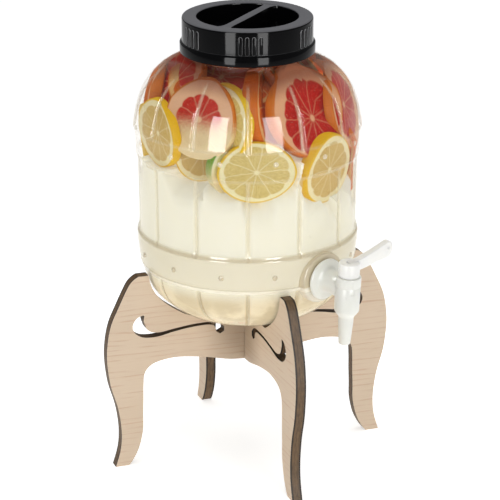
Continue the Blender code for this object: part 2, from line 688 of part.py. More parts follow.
def board_outline():
    right = board_half()
    return right + [(-across, height) for across, height in reversed(right) if across]


def scroll_outline():
    """Slot of a leg: a stroke of changing width from a small round eye out to a hooked head."""
    scroll_share = ((0.207, 0.351, 0.087), (0.232, 0.253, 0.052), (0.283, 0.208, 0.028), (0.409, 0.214, 0.026),
                    (0.535, 0.255, 0.028), (0.63, 0.297, 0.037), (0.697, 0.286, 0.056), (0.748, 0.223, 0.095),
                    (0.776, 0.108, 0.121), (0.7685, -0.009, 0.084), (0.748, -0.078, 0.03))
    stroke = [(across * STAND_REACH, SEAT_HEIGHT - down * HUB_DEPTH, half * HUB_DEPTH)
              for across, down, half in scroll_share]
    stroke = smooth_curve(stroke, LEG_STEPS)
    one_side = []
    other_side = []
    for (across, height, half), normal in zip(stroke, line_normals(stroke)):
        one_side.append((across + half * normal.x, height + half * normal.y))
        other_side.append((across - half * normal.x, height - half * normal.y))
    return one_side + round_end(stroke[-1], one_side[-1]) + list(reversed(other_side)) \
        + round_end(stroke[0], other_side[0])


def round_end(centre, start):
    """Two points that round off the end of a stroke, clockwise from its last edge point."""
    spoke = Vector(start) - Vector(centre[:2])
    points = []
    for turn in (-math.pi / 3, -2 * math.pi / 3):
        spin = Matrix.Rotation(turn, 2)
        points.append(tuple(Vector(centre[:2]) + spin @ spoke))
    return points


def make_board(name, material, slot_opens_up, turn):
    lie = Matrix.Rotation(turn, 4, "Z") @ Matrix.Rotation(math.pi / 2, 4, "X")
    half = BOARD_THICK / 2
    board = add_object(name, prism(board_outline(), -half, half, lie), material)
    cut_half = half + CUT_OVERRUN
    for side, side_name in ((1, "right"), (-1, "left")):
        outline = [(side * across, height) for across, height in scroll_outline()]
        boolean(board, "DIFFERENCE", f"{name}_scroll_{side_name}", prism(outline, -cut_half, cut_half, lie))
    lap = (ARCH_MIDDLE + SEAT_HEIGHT) / 2
    low = lap - TOUCH_GAP / 2 if slot_opens_up else ARCH_MIDDLE - CUT_OVERRUN
    high = SEAT_HEIGHT + CUT_OVERRUN if slot_opens_up else lap + TOUCH_GAP / 2
    width = half + TOUCH_GAP
    slot = [(-width, low), (width, low), (width, high), (-width, high)]
    boolean(board, "DIFFERENCE", f"{name}_lap_slot", prism(slot, -cut_half, cut_half, lie))


def make_stand():
    veneer = make_material("oak_veneer", (0.72, 0.58, 0.43), 0.6)
    make_board("stand_panel_side", veneer, False, 0)
    make_board("stand_panel_front", veneer.copy(), True, math.pi / 2)


def build():
    clear_scene()
    make_stand()
    make_jar()
    make_lid_seal()
    make_lid()
    seat = add_empty("tap_seat", tap_place())
    lever_axis = add_empty("tap_lever_axis", Matrix.Translation((BARREL_X, 0, 0)), seat)
    make_tap_fixings(seat)
    make_tap_body(seat)
    make_tap_lever(lever_axis)
    make_plug_seals(lever_axis)


build()
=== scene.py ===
"""Drink dispenser, dressed: clear staved jar of lemonade and fruit, black screw lid, milky tap, oak-faced
stand."""
import functools
import math
import random

import bmesh
import bpy
import numpy as np
from mathutils import Matrix, Vector


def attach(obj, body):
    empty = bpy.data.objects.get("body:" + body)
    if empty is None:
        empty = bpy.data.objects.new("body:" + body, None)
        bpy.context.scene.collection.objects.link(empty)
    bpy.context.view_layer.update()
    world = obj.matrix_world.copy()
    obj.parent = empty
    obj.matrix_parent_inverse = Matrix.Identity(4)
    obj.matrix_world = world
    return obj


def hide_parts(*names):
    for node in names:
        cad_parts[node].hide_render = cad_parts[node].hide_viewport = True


MM = 0.001
STAVES = 13
TAP_AZIMUTH = math.radians(-68.2)
STAVE_PITCH = 2 * math.pi / STAVES
SKIRT_RADIUS = 54.2 * MM
LID_TOP = 384.49 * MM
GROOVE_DEPTH = 2.0
GROOVE_HALF = 3.0
MIDDLE_RADIUS = 91.2
CAMERA_TURN = math.radians(20)
CAMERA_AWAY, CAMERA_HEIGHT = 2.05334, 0.91414
CAMERA_DOWN = 0.34468
CAMERA_FOCUS = 2577.884
PICTURE_WIDTH = 500

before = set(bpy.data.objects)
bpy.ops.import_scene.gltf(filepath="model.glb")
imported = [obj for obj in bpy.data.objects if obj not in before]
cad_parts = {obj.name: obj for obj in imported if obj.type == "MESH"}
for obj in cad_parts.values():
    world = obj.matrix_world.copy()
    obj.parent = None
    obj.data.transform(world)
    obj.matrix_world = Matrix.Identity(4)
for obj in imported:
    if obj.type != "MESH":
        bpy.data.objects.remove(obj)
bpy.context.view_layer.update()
bpy.ops.object.select_all(action="DESELECT")


# Colours and finishes
def tone(red, green, blue):
    """Scene colour for a colour read off in 0 to 255."""
    out = []
    for part in (red, green, blue):
        part /= 255
        out.append(part / 12.92 if part <= 0.04045 else ((part + 0.055) / 1.055) ** 2.4)
    return (*out, 1.0)


class Amount:
    """A number that changes over a surface; sums and products of it add Math nodes."""

    def __init__(self, finish, socket):
        self.finish = finish
        self.socket = socket

    def __add__(self, other):
        return self.finish.maths("ADD", self, other)

    def __radd__(self, other):
        return self.finish.maths("ADD", other, self)

    def __sub__(self, other):
        return self.finish.maths("SUBTRACT", self, other)

    def __rsub__(self, other):
        return self.finish.maths("SUBTRACT", other, self)

    def __mul__(self, other):
        return self.finish.maths("MULTIPLY", self, other)

    def __rmul__(self, other):
        return self.finish.maths("MULTIPLY", other, self)

    def __truediv__(self, other):
        return self.finish.maths("DIVIDE", self, other)


class Finish:
    """One material: its nodes, and short ways to the ones used most."""

    def __init__(self, name):
        self.material = bpy.data.materials.new(name)
        self.material.use_nodes = True
        self.tree = self.material.node_tree
        self.tree.nodes.clear()
        self.place = self.node("TexCoord").outputs["Object"]

    def node(self, kind, settings=None, inputs=None):
        made = self.tree.nodes.new("ShaderNode" + kind)
        for key, value in (settings or {}).items():
            if key == "stops":
                self.set_stops(made.color_ramp, value)
            else:
                setattr(made, key, value)
        for key, value in (inputs or {}).items():
            self.feed(made.inputs[key], value)
        return made

    def set_stops(self, ramp, stops):
        while len(ramp.elements) < len(stops):
            ramp.elements.new(0.5)
        for element, (position, colour) in zip(ramp.elements, stops):
            element.position = position
            element.color = colour

    def feed(self, socket, value):
        if isinstance(value, Amount):
            value = value.socket
        if isinstance(value, bpy.types.NodeSocket):
            self.tree.links.new(value, socket)
        else:
            socket.default_value = value

    def maths(self, operation, *values):
        made = self.node("Math", {"operation": operation}, dict(enumerate(values)))
        return Amount(self, made.outputs[0])

    def clamp(self, amount, low, high):
        """0 at low and under it, 1 at high and over it, smooth between."""
        made = self.node("MapRange", {"interpolation_type": "SMOOTHSTEP"},
                         {"Value": amount, "From Min": low, "From Max": high})
        return Amount(self, made.outputs[0])

    def stripe(self, amount, low, high, soft=0.0008):
        """1 between low and high, 0 outside, soft at both ends."""
        above = self.clamp(amount, low - soft, low + soft)
        return above * (1.0 - self.clamp(amount, high - soft, high + soft))

    def from_groove(self, x, y):
        """Distance in mm, round the jar, from the nearest groove between two staves."""
        around = self.maths("ARCTAN2", y, x)
        turn = (around - (TAP_AZIMUTH + STAVE_PITCH / 2)) / STAVE_PITCH
        return self.maths("ABSOLUTE", turn - self.maths("ROUND", turn)) * (STAVE_PITCH * 91.0)

    def parts(self, vector):
        made = self.node("SeparateXYZ", None, {0: vector})
        return [Amount(self, made.outputs[index]) for index in range(3)]

    def vector(self, x, y, z):
        return self.node("CombineXYZ", None, {0: x, 1: y, 2: z}).outputs[0]

    def noise(self, vector, scale, detail=3.0, rough=0.55):
        inputs = {"Vector": vector, "Scale": scale, "Detail": detail, "Roughness": rough}
        made = self.node("TexNoise", None, inputs)
        return Amount(self, made.outputs[0])

    def ramp(self, amount, *stops):
        return self.node("ValToRGB", {"stops": stops}, {0: amount}).outputs["Color"]

    def mix(self, factor, one, two, how="MIX"):
        made = self.node("Mix", {"data_type": "RGBA", "blend_type": how}, {0: factor, 6: one, 7: two})
        return made.outputs[2]

    def bump(self, height, distance, strength=1.0):
        inputs = {"Height": height, "Distance": distance, "Strength": strength}
        return self.node("Bump", None, inputs).outputs[0]

    def surface(self, inputs):
        return self.node("BsdfPrincipled", None, inputs).outputs[0]

    def done(self, shader):
        output = self.node("OutputMaterial")
        self.tree.links.new(shader, output.inputs["Surface"])
        return self.material


def moulded(name, colour, rough, speckle=0.02, grain=900.0, extra=None):
    """Moulded plastic or rubber: nearly even, with a fine uneven gloss and the faint ripple of the mould."""
    finish = Finish(name)
    cloud = finish.noise(finish.place, 60.0, 4.0)
    fine = finish.noise(finish.place, grain, 2.0)
    dark = tuple(part * (1 - 6 * speckle) for part in colour[:3]) + (1.0,)
    base = finish.mix(cloud, colour, dark)
    height = fine * 0.4 + cloud
    inputs = {"Base Color": base, "Roughness": rough + (cloud - 0.5) * 0.12,
              "Normal": finish.bump(height, 0.00008, 0.35)}
    inputs.update(extra or {})
    return finish.done(finish.surface(inputs))


def lid_plastic():
    finish = Finish("black_lid_plastic")
    cloud = finish.noise(finish.place, 45.0, 5.0)
    fine = finish.noise(finish.place, 1400.0, 2.0)
    scuffs = finish.clamp(finish.noise(finish.place, 260.0, 6.0, 0.7), 0.62, 0.78)
    base = finish.mix(scuffs, tone(6, 6, 7), tone(16, 16, 18))
    x, y, z = finish.parts(finish.place)
    # Painted reflection: the flat top ring of the lid is painted mid grey, standing in for the soft reflection of the
    # overhead lamp.
    top = finish.stripe(z, 0.3838, 0.3848, 0.0003)
    base = finish.mix(top, base, tone(100, 100, 103))
    # Painted highlight: the sloped sides of the grip ribs are painted pale grey, standing in for the glints along their
    # rounded edges.
    out = finish.maths("SQRT", x * x + y * y)
    rib_flank_highlight = finish.stripe(out, 0.05432, 0.0549, 0.00008) * finish.stripe(z, 0.3644, 0.3812, 0.0001)
    base = finish.mix(rib_flank_highlight * 0.8, base, tone(158, 158, 160))
    rough = 0.05 + cloud * 0.05 + scuffs * 0.1 + top * 0.3
    normal = finish.bump(fine * 0.5 + cloud, 0.00005, 0.2)
    return finish.done(finish.surface({"Base Color": base, "Roughness": rough, "Normal": normal,
                                       "Specular IOR Level": 0.08}))


def milky_plastic(name, colour):
    finish = Finish(name)
    cloud = finish.noise(finish.place, 70.0, 4.0)
    fine = finish.noise(finish.place, 1600.0, 2.0)
    shade = tuple(part * 0.93 for part in colour[:3]) + (1.0,)
    base = finish.mix(cloud, colour, shade)
    normal = finish.bump(fine + cloud * 2.0, 0.00005, 0.3)
    return finish.done(finish.surface({"Base Color": base, "Roughness": 0.24 + cloud * 0.12, "Normal": normal,
                                       "Subsurface Weight": 0.25, "Subsurface Radius": (0.006, 0.006, 0.005),
                                       "Subsurface Scale": 1.0}))


def wall_plastic(name, film, tint, rim_tint):
    """Clear plastic wall: what is behind shows through it, its gloss grows toward the rim of sight."""
    finish = Finish(name)
    x, y, z = finish.parts(finish.place)
    off = finish.from_groove(x, y)
    band = finish.clamp(z, 0.131, 0.15) * (1.0 - finish.clamp(z, 0.336, 0.346))
    hoops = finish.clamp(z, 0.171, 0.176) * (1.0 - finish.clamp(z, 0.2, 0.206))
    upper_hoop = finish.clamp(z, 0.267, 0.272) * (1.0 - finish.clamp(z, 0.292, 0.297))
    hoops = finish.maths("MAXIMUM", hoops, upper_hoop)
    groove = (1.0 - finish.clamp(off, 0.6, 2.4)) * band * (1.0 - hoops)
    # Painted highlight: the low hoop's lower lip is made denser and painted near white, standing in for the bright line
    # the light makes along it.
    low_lip_highlight = finish.stripe(z, 0.1726, 0.1762)
    steps = finish.stripe(z, 0.2012, 0.2056) + low_lip_highlight * 2.2
    steps = steps + finish.stripe(z, 0.2684, 0.2716) * 0.5 + finish.stripe(z, 0.2938, 0.2962) * 0.4
    low_hoop = finish.stripe(z, 0.1745, 0.2045)
    wave = finish.noise(finish.place, 28.0, 3.0)
    fine = finish.noise(finish.place, 420.0, 2.0)
    facing = Amount(finish, finish.node("LayerWeight", None, {"Blend": 0.5}).outputs["Facing"])
    edge = finish.clamp(facing, 0.5, 1.0)
    cover = film + groove * 0.22 + steps * 0.2 + low_hoop * 0.14 + edge * rim_tint + (wave - 0.5) * 0.02
    tint = finish.mix(low_hoop, tint, tone(214, 200, 170))
    tint = finish.mix(low_lip_highlight, tint, tone(248, 242, 224))
    normal = finish.bump(wave + fine * 0.05, 0.0006, 0.25)
    body = finish.surface({"Base Color": tint, "Roughness": 0.12, "Normal": normal})
    clear = finish.node("BsdfTransparent", None, {"Color": (0.985, 0.982, 0.975, 1)}).outputs[0]
    shell = finish.node("MixShader", None, {0: cover, 1: clear, 2: body}).outputs[0]
    gloss = finish.node("BsdfGlossy", None, {"Color": (1, 1, 1, 1), "Roughness": 0.06, "Normal": normal})
    shine = finish.maths("POWER", facing, 6.0) * 0.26 + 0.012
    made = finish.node("MixShader", None, {0: shine, 1: shell, 2: gloss.outputs[0]}).outputs[0]
    return finish.done(made)


def lemonade_colour():
    finish = Finish("cloudy_lemonade")
    x, y, z = finish.parts(finish.place)
    drift = finish.noise(finish.place, 16.0, 4.0)
    fine = finish.noise(finish.place, 90.0, 4.0)
    deep = finish.mix(drift, tone(214, 212, 198), tone(212, 208, 188))
    # Darker towards the bottom in a blotchy tone, with painted shade along the grooves there.
    bottom_tone_and_groove_shade = finish.mix(finish.clamp(finish.noise(finish.place, 40.0, 3.0), 0.4, 0.62), tone(186, 172, 142),
                         tone(206, 194, 166))
    around = finish.maths("ARCTAN2", y, x)
    bottom_tone_and_groove_shade = finish.mix((1.0 - finish.clamp(finish.from_groove(x, y), 0.8, 2.6)) * 0.55, bottom_tone_and_groove_shade, tone(150, 130, 92))
    deep = finish.mix(1.0 - finish.clamp(z, 0.16, 0.178), deep, bottom_tone_and_groove_shade)
    bits = finish.clamp(finish.noise(finish.place, 190.0, 3.0), 0.6, 0.7) * (1.0 - finish.clamp(z, 0.136, 0.15))
    deep = finish.mix(bits * 0.5, deep, tone(206, 120, 92))
    aside, above = (around - math.radians(-68.0)) * 0.091, z - 0.227
    ring = finish.stripe(finish.maths("SQRT", aside * aside + above * above), 0.0146, 0.0152, 0.0006)
    beads = finish.clamp(finish.noise(finish.place, 260.0, 2.0), 0.46, 0.6)
    deep = finish.mix(ring * beads * 0.45, deep, tone(172, 168, 146))
    fruit = finish.ramp(finish.noise(finish.place, 34.0, 3.0, 0.5), (0.38, tone(176, 30, 26)),
                        (0.47, tone(206, 84, 30)), (0.55, tone(226, 138, 62)), (0.66, tone(238, 188, 122)))
    # Painted shade: the drink darkens to a deep brown up under the neck, where the lid shades it.
    top = finish.mix(finish.clamp(z, 0.33, 0.348), fruit, tone(118, 48, 14))
    mixed = finish.clamp(z + (drift - 0.5) * 0.03, 0.284, 0.306)
    base = finish.mix(mixed, deep, top)
    # Painted light: the drink glows with its own colour, standing in for the light that comes through the cloudy drink
    # from all round.
    return finish.done(finish.surface({"Base Color": base, "Roughness": 0.6, "Specular IOR Level": 0.05,
                                       "Normal": finish.bump(fine, 0.0003, 0.2),
                                       "Emission Color": base, "Emission Strength": 0.42,
                                       "Subsurface Weight": 0.35, "Subsurface Radius": (0.02, 0.018, 0.012),
                                       "Subsurface Scale": 1.0}))


# How each fruit looks cut: colours, number of segments, where the pulp ends, how plain the skins between
# are, how far the pulp lies off the middle, and between which heights the cloudy drink hides it
FRUIT = {
    "lemon": {"pulp": (222, 200, 124), "dark": (202, 176, 92), "pith": (242, 232, 184),
              "zest": (230, 190, 24),
              "peel": (226, 176, 8), "segments": 10, "pulp_edge": 0.84, "skins": 0.5, "shift": (0, 0)},
    "pale_lemon": {"pulp": (214, 184, 112), "dark": (200, 162, 80), "pith": (240, 226, 178),
                   "zest": (230, 184, 20),
                   "peel": (224, 168, 6), "segments": 10, "pulp_edge": 0.8, "skins": 0.45, "shift": (0, 0)},
    "grapefruit": {"pulp": (198, 34, 22), "dark": (166, 8, 8), "pith": (226, 172, 134),
                   "zest": (206, 112, 18),
                   "peel": (196, 94, 6), "segments": 11, "pulp_edge": 0.76, "skins": 0.45, "shift": (0, 0)},
    "sunk_grapefruit": {"pulp": (202, 44, 24), "dark": (172, 16, 8), "pith": (228, 180, 142),
                        "zest": (200, 112, 16),
                        "peel": (186, 92, 4), "segments": 9, "pulp_edge": 0.62, "skins": 0.3, "shift": (0.02, -0.05),
                        "sunk": (0.303, 0.321)},
    "large_grapefruit": {"pulp": (198, 24, 14), "dark": (162, 2, 4), "pith": (226, 168, 126),
                         "zest": (206, 112, 20),
                         "peel": (196, 92, 8), "segments": 11, "pulp_edge": 0.8, "skins": 0.28,
                         "shift": (0.18, 0.08)},
    "orange": {"pulp": (214, 104, 12), "dark": (190, 70, 2), "pith": (232, 184, 118), "zest": (208, 104, 4),
               "peel": (190, 80, 0), "segments": 10, "pulp_edge": 0.84, "skins": 0.5, "shift": (0, 0)},
    "lime": {"pulp": (214, 214, 150), "dark": (194, 196, 110), "pith": (232, 232, 192),
             "zest": (104, 150, 24),
             "peel": (92, 138, 20), "segments": 10, "pulp_edge": 0.84, "skins": 0.5, "shift": (0, 0),
             "sunk": (0.262, 0.288)},
}


def flesh(kind, look):
    """Cut face of a fruit: segments with their skins, pith ring and a line of zest, on the slice's own UV map."""
    finish = Finish(kind + "_flesh")
    uv = finish.node("UVMap", {"uv_map": "cut_face"}).outputs[0]
    u, v, unused = finish.parts(uv)
    across, up = u * 2.0 - 1.0, v * 2.0 - 1.0
    wobble = (finish.noise(uv, 5.0, 2.0) - 0.5) * 0.1
    rim = finish.maths("SQRT", across * across + up * up)
    across, up = across - look["shift"][0], up - look["shift"][1]
    reach = finish.maths("SQRT", across * across + up * up) + wobble * 0.5
    turn = finish.maths("ARCTAN2", up, across) * (look["segments"] / (2 * math.pi)) + wobble * 3.0
    split = finish.maths("ABSOLUTE", finish.maths("FRACT", turn + 20.0) - 0.5)
    skin_reach = (0.5 - split) * reach * (2 * math.pi / look["segments"])
    skins = 1.0 - finish.clamp(skin_reach, 0.004, 0.03)
    pulp_edge = look["pulp_edge"] - (split * split * split) * 0.5
    pith = finish.clamp(reach, pulp_edge - 0.02, pulp_edge + 0.03)
    core = 1.0 - finish.clamp(reach, 0.04, 0.1)
    streak = finish.noise(finish.vector(turn * 4.0, reach * 3.0, 0.0), 3.0, 4.0, 0.6)
    drops = finish.noise(uv, 34.0, 3.0)
    pulp = finish.mix(finish.clamp(streak, 0.35, 0.7), tone(*look["pulp"]), tone(*look["dark"]))
    pulp = finish.mix(finish.clamp(drops, 0.58, 0.75) * 0.4, pulp, tone(*look["pith"]))
    pale = tone(*look["pith"])
    mask = finish.maths("MAXIMUM", finish.maths("MAXIMUM", pith, skins * look["skins"]), core)
    base = finish.mix(mask, pulp, pale)
    base = finish.mix(finish.clamp(rim, 0.93, 0.975), base, tone(*look["zest"]))
    z = finish.parts(finish.place)[2]
    if "sunk" in look:
        base = finish.mix((1.0 - finish.clamp(z + (drops - 0.5) * 0.012, *look["sunk"])) * 0.93, base,
                          tone(232, 212, 164))
    # Painted shade: the cut faces darken toward deep brown up under the neck, where the lid shades them.
    base = finish.mix(finish.clamp(z, 0.33, 0.347) * 0.75, base, tone(112, 28, 4))
    height = streak * 0.5 + drops * 0.3 - pith * 0.3 + skins * 0.4
    return finish.done(finish.surface({"Base Color": base, "Roughness": 0.34 + pith * 0.2,
                                       "Normal": finish.bump(height, 0.0008, 0.5), "Specular IOR Level": 0.12,
                                       "Subsurface Weight": 0.1, "Subsurface Radius": (0.006, 0.004, 0.002),
                                       "Subsurface Scale": 1.0}))


def peel(kind, look):
    finish = Finish(kind + "_peel")
    pores = finish.node("TexVoronoi", None, {"Vector": finish.place, "Scale": 620.0}).outputs["Distance"]
    pores = finish.clamp(Amount(finish, pores), 0.1, 0.5)
    cloud = finish.noise(finish.place, 60.0, 4.0)
    rich = tone(*look["peel"])
    deep = tuple(part * 0.72 for part in rich[:3]) + (1.0,)
    base = finish.mix(cloud, rich, tone(*look["zest"]))
    base = finish.mix((1.0 - pores) * 0.6, base, deep)
    shaded = finish.clamp(finish.parts(finish.place)[2], 0.33, 0.347)
    base = finish.mix(shaded * 0.7, base, tone(112, 36, 2))
    return finish.done(finish.surface({"Base Color": base, "Roughness": 0.38, "Specular IOR Level": 0.15,
                                       "Normal": finish.bump(pores, 0.0004, 0.5)}))


def board_finish(name, along, across):
    """Oak-printed board: pale faces with thin brown grain, sawn edges burnt dark with the plies showing."""
    finish = Finish(name)
    coordinates = finish.parts(finish.place)
    run, through, z = coordinates[along], coordinates[across], coordinates[2]
    normals = finish.parts(finish.node("TexCoord").outputs["Normal"])
    face = finish.clamp(finish.maths("ABSOLUTE", normals[across]), 0.6, 0.8)
    # Painted highlight: the upward-facing sawn ends at the tops of the horns are painted near white, standing in for a
    # glint.
    horn_top_glint = finish.clamp(normals[2], 0.82, 0.96) * finish.clamp(z, 0.17, 0.18)
    sway = finish.noise(finish.vector(run * 7.0, z * 60.0, 0.0), 1.0, 3.0)
    line = finish.maths("FRACT", z * 205.0 + run * 5.0 + sway * 2.4 + 20.0)
    thin = 1.0 - finish.clamp(finish.maths("ABSOLUTE", line - 0.5), 0.03, 0.17)
    thin = thin * finish.clamp(finish.noise(finish.vector(run * 26.0, z * 160.0, 5.0), 1.0, 2.0), 0.4, 0.62)
    fleck = finish.noise(finish.vector(run * 30.0, z * 1400.0, 1.0), 1.0, 2.0)
    cloud = finish.noise(finish.vector(run * 5.0, z * 26.0, 2.0), 1.0, 3.0)
    pale = finish.mix(cloud, tone(218, 198, 174), tone(208, 186, 160))
    pale = finish.mix(finish.clamp(fleck, 0.45, 0.8) * 0.3, pale, tone(196, 170, 142))
    pale = finish.mix(thin * 0.45, pale, tone(190, 148, 122))
    # Painted shade: the board faces darken near the crossing of the boards under the jar, where the light is blocked.
    middle = (1.0 - finish.clamp(finish.maths("ABSOLUTE", run), 0.012, 0.05)) * finish.clamp(z, 0.05, 0.11)
    pale = finish.mix(middle * 0.6, pale, tone(140, 120, 98))
    ply = finish.maths("SINE", through * 2300.0) * 0.5 + 0.5
    soot = finish.noise(finish.vector(run * 160.0, through * 700.0, z * 160.0), 1.0, 4.0, 0.6)
    edge = finish.mix(finish.clamp(soot + ply * 0.08, 0.36, 0.78), tone(80, 60, 38), tone(112, 86, 56))
    char = finish.clamp(finish.maths("ABSOLUTE", through), 0.0026, 0.0034)
    edge = finish.mix(char * 0.92, edge, tone(24, 20, 16))
    edge = finish.mix(horn_top_glint * 0.75, edge, tone(226, 219, 210))
    base = finish.mix(face, edge, pale)
    height = fleck * 0.4 + thin * -1.0 + soot * 0.2
    return finish.done(finish.surface({"Base Color": base, "Roughness": 0.52 + cloud * 0.1,
                                       "Specular IOR Level": 0.3, "Normal": finish.bump(height, 0.00025, 0.4)}))


# Modelling
def turned(name, rows, sides=None, angles=None, closed=False):
    """Round piece drawn up ring by ring from a circle, one ring for each (radius, height)."""
    bpy.ops.object.select_all(action="DESELECT")
    radius, height = rows[0]
    count = len(angles) if angles else sides
    bpy.ops.mesh.primitive_circle_add(vertices=count, radius=radius)
    piece = bpy.context.object
    piece.name = name
    if angles:
        for vertex, angle in zip(piece.data.vertices, angles):
            vertex.co = (radius * math.cos(angle), radius * math.sin(angle), 0)
    bpy.ops.object.mode_set(mode="EDIT")
    bpy.ops.mesh.select_all(action="SELECT")
    bpy.ops.transform.translate(value=(0, 0, height))
    for new_radius, new_height in rows[1:]:
        bpy.ops.mesh.extrude_edges_move(TRANSFORM_OT_translate={"value": (0, 0, new_height - height)})
        share = new_radius / radius
        bpy.ops.transform.resize(value=(share, share, 1), center_override=(0, 0, new_height))
        radius, height = new_radius, new_height
    if closed:
        bpy.ops.mesh.select_all(action="SELECT")
        bpy.ops.mesh.remove_doubles(threshold=0.000001)
    else:
        bpy.ops.mesh.select_all(action="DESELECT")
        bpy.ops.mesh.select_non_manifold()
        bpy.ops.mesh.edge_face_add()
        bpy.ops.mesh.select_all(action="SELECT")
    bpy.ops.mesh.normals_make_consistent(inside=False)
    bpy.ops.object.mode_set(mode="OBJECT")
    return piece


def smooth(piece, angle=35):
    bpy.ops.object.select_all(action="DESELECT")
    piece.select_set(True)
    bpy.context.view_layer.objects.active = piece
    bpy.ops.object.shade_smooth_by_angle(angle=math.radians(angle))


def bevelled(piece, width, segments=2, angle=30):
    step = piece.modifiers.new("round_edges", "BEVEL")
    step.width = width
    step.segments = segments
    step.limit_method = "ANGLE"
    step.angle_limit = math.radians(angle)
    bpy.context.view_layer.objects.active = piece
    bpy.ops.object.modifier_apply(modifier=step.name)


def placed(piece, place):
    """Puts a piece made about the origin in its place, in its mesh."""
    piece.data.transform(place)
    piece.data.update()


def joined(name, pieces):
    bpy.ops.object.select_all(action="DESELECT")
    for piece in pieces:
        piece.select_set(True)
    bpy.context.view_layer.objects.active = pieces[0]
    if len(pieces) > 1:
        bpy.ops.object.join()
    pieces[0].name = name
    return pieces[0]


def copied(piece, place):
    other = piece.copy()
    other.data = piece.data.copy()
    bpy.context.scene.collection.objects.link(other)
    placed(other, place)
    return other


def finished(piece, material, body, angle=35):
    piece.data.materials.clear()
    piece.data.materials.append(material)
    smooth(piece, angle)
    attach(piece, body)
    return piece


def curve_through(points, steps):
    """Points of a smooth line through the given ones."""
    line = []
    last = len(points) - 1
    for index in range(last):
        before = Vector(points[max(index - 1, 0)])
        start, end = Vector(points[index]), Vector(points[index + 1])
        after = Vector(points[min(index + 2, last)])
        for step in range(steps):
            t = step / steps
            bend = (2 * before - 5 * start + 4 * end - after) * t * t
            twist = (3 * start - before - 3 * end + after) * t ** 3
            line.append((2 * start + (end - before) * t + bend + twist) / 2)
    line.append(Vector(points[last]))
    return [(point.x, point.y) for point in line]


def scaled(rows):
    return [(radius * MM, height * MM) for radius, height in rows]


# Jar
DOME = [(51.6, 350.4), (55.0, 349.9), (59.0, 349.0), (68.0, 345.0), (76.5, 338.7), (83.5, 331.0), (89.0, 321.8),
        (93.0, 310.0), (95.3, 299.0), (95.8, 294.8)]
HOOPS = [(95.8, 294.8), (95.4, 292.0), (94.7, 286.0), (94.0, 278.0), (93.6, 271.4), (93.2, 270.4), (92.6, 269.6),
         (92.35, 268.6), (92.2, 262.0), (91.8, 240.0), (91.4, 215.0), (91.3, 205.2), (91.8, 203.6), (92.7, 202.6),
         (93.0, 201.4), (92.9, 196.0), (92.5, 191.0), (91.6, 183.0), (90.4, 176.4), (89.8, 174.4), (88.9, 173.4)]
BOWL = [(88.9, 173.4), (88.4, 170.5), (86.6, 163.3), (82.4, 154.0), (74.1, 144.7), (62.9, 136.5), (54.0, 131.7),
        (48.0, 130.3), (44.0, 130.3), (41.5, 131.4), (38.5, 133.2), (30.0, 134.4), (20.0, 134.8)]


def jar_line():
    return curve_through(DOME, 4)[:-1] + curve_through(HOOPS, 2)[:-1] + curve_through(BOWL, 4)


def moved_in(line, distance):
    rows = []
    for index, (radius, height) in enumerate(line):
        before = Vector(line[max(index - 1, 0)])
        after = Vector(line[min(index + 1, len(line) - 1)])
        along = (after - before).normalized()
        rows.append((radius + along.y * distance, height - along.x * distance))
    return rows


def stave_angles():
    """Angles of the columns round the jar, close together at each groove."""
    offsets = [0, 0.8, 1.6, 2.6, 4.0, 7.0, 12.0, 17.0]
    offsets = [-offset for offset in reversed(offsets[1:])] + offsets
    angles = []
    for stave in range(STAVES):
        groove = TAP_AZIMUTH + (stave + 0.5) * STAVE_PITCH
        angles += [groove + offset / MIDDLE_RADIUS for offset in offsets] + [groove + STAVE_PITCH / 2]
    return angles


WALL = 0.8
GROOVE_BANDS = ((343.0, 338.0, 296.0, 292.0), (269.2, 266.5, 207.5, 204.5), (174.0, 171.5, 142.0, 134.0))


def groove_share(height):
    """How deep a groove is at a height in mm, as a share; it fades out at the hoops, the neck and the base."""
    share = 0.0
    for top, full_top, full_low, low in GROOVE_BANDS:
        if low < height < top:
            rise = min((top - height) / (top - full_top), (height - low) / (full_low - low), 1.0)
            share = max(share, rise)
    return share


def groove_at(x, y, height):
    """How far a groove is pressed in at a point, as a share of its depth."""
    turn = (math.atan2(y, x) - TAP_AZIMUTH) / STAVE_PITCH - 0.5
    off = abs(turn - round(turn)) * STAVE_PITCH * MIDDLE_RADIUS
    if off >= GROOVE_HALF:
        return 0.0
    return groove_share(height) * math.cos(off / GROOVE_HALF * math.pi / 2) ** 2


def press_grooves(piece):
    """Presses the staves' grooves into a piece turned about the jar's axis."""
    for vertex in piece.data.vertices:
        x, y, z = vertex.co
        radius = math.hypot(x, y)
        if radius < 0.05:
            continue
        press = GROOVE_DEPTH * MM * groove_at(x, y, z / MM)
        vertex.co.x *= (radius - press) / radius
        vertex.co.y *= (radius - press) / radius


def tap_place():
    out = Vector((math.cos(TAP_AZIMUTH), math.sin(TAP_AZIMUTH), 0)) * 93.4 * MM
    return Matrix.Translation(out + Vector((0, 0, 181.0 * MM))) @ Matrix.Rotation(TAP_AZIMUTH, 4, "Z") \
        @ Matrix.Rotation(math.radians(4.0), 4, "Y")


def lying():
    return Matrix.Rotation(math.pi / 2, 4, "Y")


def make_jar_wall():
    line = jar_line()
    neck = [(48.4, 379.6), (48.8, 380.1), (49.4, 380.2), (49.9, 380.0), (50.2, 379.5), (50.2, 356.0), (50.2, 354.8),
            (52.6, 354.7), (53.0, 354.3), (53.0, 353.5), (52.6, 353.1), (51.7, 352.8), (51.6, 351.4)]
    inner = list(reversed(moved_in(line, WALL)))
    inner = [row for row in inner if row[0] > 48.4 or row[1] < 300]
    rows = inner + [(48.4, 347.6), (48.4, 360.0)] + neck + line
    wall = turned("jar_wall", scaled(rows), angles=stave_angles())
    press_grooves(wall)
    clear = wall_plastic("clear_jar_plastic", 0.008, tone(228, 217, 188), 0.12)
    finished(wall, clear, "jar", 60)
    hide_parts("jar_body")
    make_rivets()
    make_neck_thread(clear)
    make_boss()


